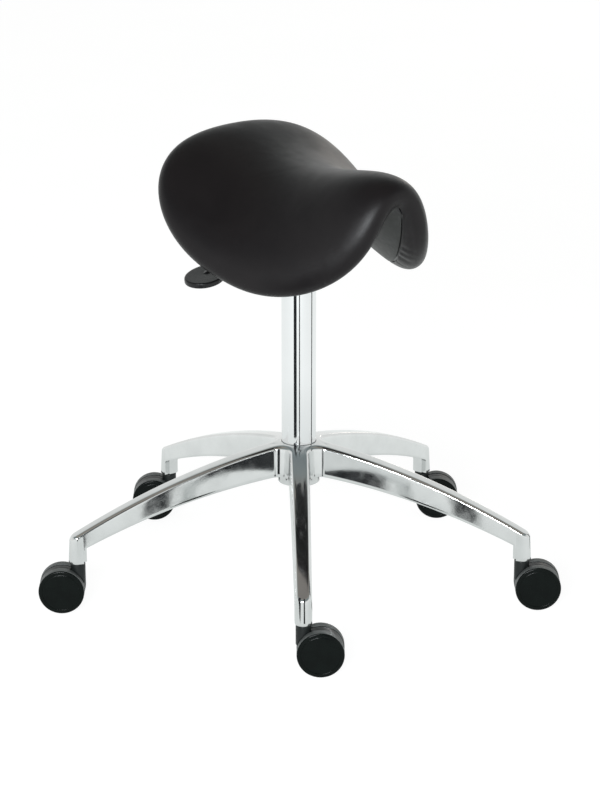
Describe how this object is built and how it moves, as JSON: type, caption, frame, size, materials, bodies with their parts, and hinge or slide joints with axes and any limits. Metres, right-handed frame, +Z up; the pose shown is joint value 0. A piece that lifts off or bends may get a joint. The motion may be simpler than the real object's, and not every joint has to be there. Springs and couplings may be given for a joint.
{
  "type": "saddle stool",
  "caption": "Height-adjustable saddle stool with a moulded seat, gas lift with side lever, polished star base and twin-wheel casters.",
  "frame": {"origin": "on the floor, on the axis of the column", "axes": "+Z up; one arm of the base points along -Y (1.1 degrees off); the seat's pommel points towards +X and -Y"},
  "size_m": [0.752, 0.6525, 0.6676],
  "materials": {
    "polished_aluminium": "die cast and polished to a mirror",
    "chrome": "bright chrome plate",
    "black_steel": "satin black",
    "plate_paint": "black powder coat",
    "steel": "zinc plated",
    "black_plastic": "moulded, fine satin texture",
    "shell_plastic": "moulded structural shell",
    "caster_tread": "moulded, satin disc and worn tread",
    "buffer_rubber": "matt",
    "leather": "smooth black synthetic leather with a fine grain",
    "foam": "moulded polyurethane foam",
    "under_panel": "dark grey moulded panel, satin"
  },
  "bodies": {
    "base": {"star_base": "polished_aluminium", "column_tube": "chrome", "column_bush": "black_plastic", "thrust_race_lower": "steel", "thrust_ball_ring": "steel", "near_caster_stem": "steel", "right_front_caster_stem": "steel", "right_rear_caster_stem": "steel", "left_rear_caster_stem": "steel", "left_front_caster_stem": "steel"},
    "rod": {"piston_rod": "chrome", "thrust_race_upper": "steel", "stop_buffer": "buffer_rubber", "piston": "black_steel", "rod_clip": "steel"},
    "seat": {"gas_cylinder": "black_steel", "cylinder_gland": "black_plastic", "taper_socket": "steel", "mechanism_plate": "plate_paint", "lever_pin": "steel", "plate_screw_1": "steel", "plate_screw_2": "steel", "plate_screw_3": "steel", "plate_screw_4": "steel", "tee_nut_1": "steel", "tee_nut_2": "steel", "tee_nut_3": "steel", "tee_nut_4": "steel", "seat_shell": "shell_plastic", "seat_foam": "foam", "seat_cover": "leather", "seat_liner": "under_panel"},
    "button": {"release_pin": "steel"},
    "lever": {"lever_bar": "steel", "lever_paddle": "black_plastic"},
    "near_caster": {"near_caster_housing": "black_plastic", "near_caster_axle": "steel"},
    "near_wheel_a": {"near_wheel_a": "caster_tread"},
    "near_wheel_b": {"near_wheel_b": "caster_tread"},
    "right_front_caster": {"right_front_caster_housing": "black_plastic", "right_front_caster_axle": "steel"},
    "right_front_wheel_a": {"right_front_wheel_a": "caster_tread"},
    "right_front_wheel_b": {"right_front_wheel_b": "caster_tread"},
    "right_rear_caster": {"right_rear_caster_housing": "black_plastic", "right_rear_caster_axle": "steel"},
    "right_rear_wheel_a": {"right_rear_wheel_a": "caster_tread"},
    "right_rear_wheel_b": {"right_rear_wheel_b": "caster_tread"},
    "left_rear_caster": {"left_rear_caster_housing": "black_plastic", "left_rear_caster_axle": "steel"},
    "left_rear_wheel_a": {"left_rear_wheel_a": "caster_tread"},
    "left_rear_wheel_b": {"left_rear_wheel_b": "caster_tread"},
    "left_front_caster": {"left_front_caster_housing": "black_plastic", "left_front_caster_axle": "steel"},
    "left_front_wheel_a": {"left_front_wheel_a": "caster_tread"},
    "left_front_wheel_b": {"left_front_wheel_b": "caster_tread"}
  },
  "joints": [
    {"name": "seat_swivel", "type": "hinge", "parent": "base", "child": "rod", "pos_m": [0, 0, 0.17], "axis": [0, 0, 1], "continuous": true},
    {"name": "gas_lift", "type": "slide", "parent": "rod", "child": "seat", "axis": [0, 0, 1], "range_m": [0, 0.19]},
    {"name": "lever_hinge", "type": "hinge", "parent": "seat", "child": "lever", "pos_m": [-0.036, 0, 0.5462], "axis": [0, 1, 0], "range_deg": [0, 4.8], "stiffness_Nm_per_rad": 2},
    {"name": "release_button", "type": "slide", "parent": "seat", "child": "button", "axis": [0, 0, -1], "range_m": [0, 0.0031], "stiffness_N_per_m": 500},
    {"name": "near_caster_swivel", "type": "hinge", "parent": "base", "child": "near_caster", "pos_m": [0.00645, -0.33594, 0.06], "axis": [0, 0, 1], "continuous": true},
    {"name": "near_wheel_a_spin", "type": "hinge", "parent": "near_caster", "child": "near_wheel_a", "pos_m": [0.02995, -0.33594, 0.033], "axis": [0, 1, 0], "continuous": true},
    {"name": "near_wheel_b_spin", "type": "hinge", "parent": "near_caster", "child": "near_wheel_b", "pos_m": [0.02995, -0.33594, 0.033], "axis": [0, 1, 0], "continuous": true},
    {"name": "right_front_caster_swivel", "type": "hinge", "parent": "base", "child": "right_front_caster", "pos_m": [0.32149, -0.09768, 0.06], "axis": [0, 0, 1], "continuous": true},
    {"name": "right_front_wheel_a_spin", "type": "hinge", "parent": "right_front_caster", "child": "right_front_wheel_a", "pos_m": [0.34499, -0.09768, 0.033], "axis": [0, 1, 0], "continuous": true},
    {"name": "right_front_wheel_b_spin", "type": "hinge", "parent": "right_front_caster", "child": "right_front_wheel_b", "pos_m": [0.34499, -0.09768, 0.033], "axis": [0, 1, 0], "continuous": true},
    {"name": "right_rear_caster_swivel", "type": "hinge", "parent": "base", "child": "right_rear_caster", "pos_m": [0.19224, 0.27557, 0.06], "axis": [0, 0, 1], "continuous": true},
    {"name": "right_rear_wheel_a_spin", "type": "hinge", "parent": "right_rear_caster", "child": "right_rear_wheel_a", "pos_m": [0.21574, 0.27557, 0.033], "axis": [0, 1, 0], "continuous": true},
    {"name": "right_rear_wheel_b_spin", "type": "hinge", "parent": "right_rear_caster", "child": "right_rear_wheel_b", "pos_m": [0.21574, 0.27557, 0.033], "axis": [0, 1, 0], "continuous": true},
    {"name": "left_rear_caster_swivel", "type": "hinge", "parent": "base", "child": "left_rear_caster", "pos_m": [-0.20268, 0.26799, 0.06], "axis": [0, 0, 1], "continuous": true},
    {"name": "left_rear_wheel_a_spin", "type": "hinge", "parent": "left_rear_caster", "child": "left_rear_wheel_a", "pos_m": [-0.22618, 0.26799, 0.033], "axis": [0, 1, 0], "continuous": true},
    {"name": "left_rear_wheel_b_spin", "type": "hinge", "parent": "left_rear_caster", "child": "left_rear_wheel_b", "pos_m": [-0.22618, 0.26799, 0.033], "axis": [0, 1, 0], "continuous": true},
    {"name": "left_front_caster_swivel", "type": "hinge", "parent": "base", "child": "left_front_caster", "pos_m": [-0.3175, -0.10995, 0.06], "axis": [0, 0, 1], "continuous": true},
    {"name": "left_front_wheel_a_spin", "type": "hinge", "parent": "left_front_caster", "child": "left_front_wheel_a", "pos_m": [-0.341, -0.10995, 0.033], "axis": [0, 1, 0], "continuous": true},
    {"name": "left_front_wheel_b_spin", "type": "hinge", "parent": "left_front_caster", "child": "left_front_wheel_b", "pos_m": [-0.341, -0.10995, 0.033], "axis": [0, 1, 0], "continuous": true}
  ],
  "couplings": [
    {"joint": "release_button", "follows": "lever_hinge", "m_per_rad": 0.036}
  ]
}
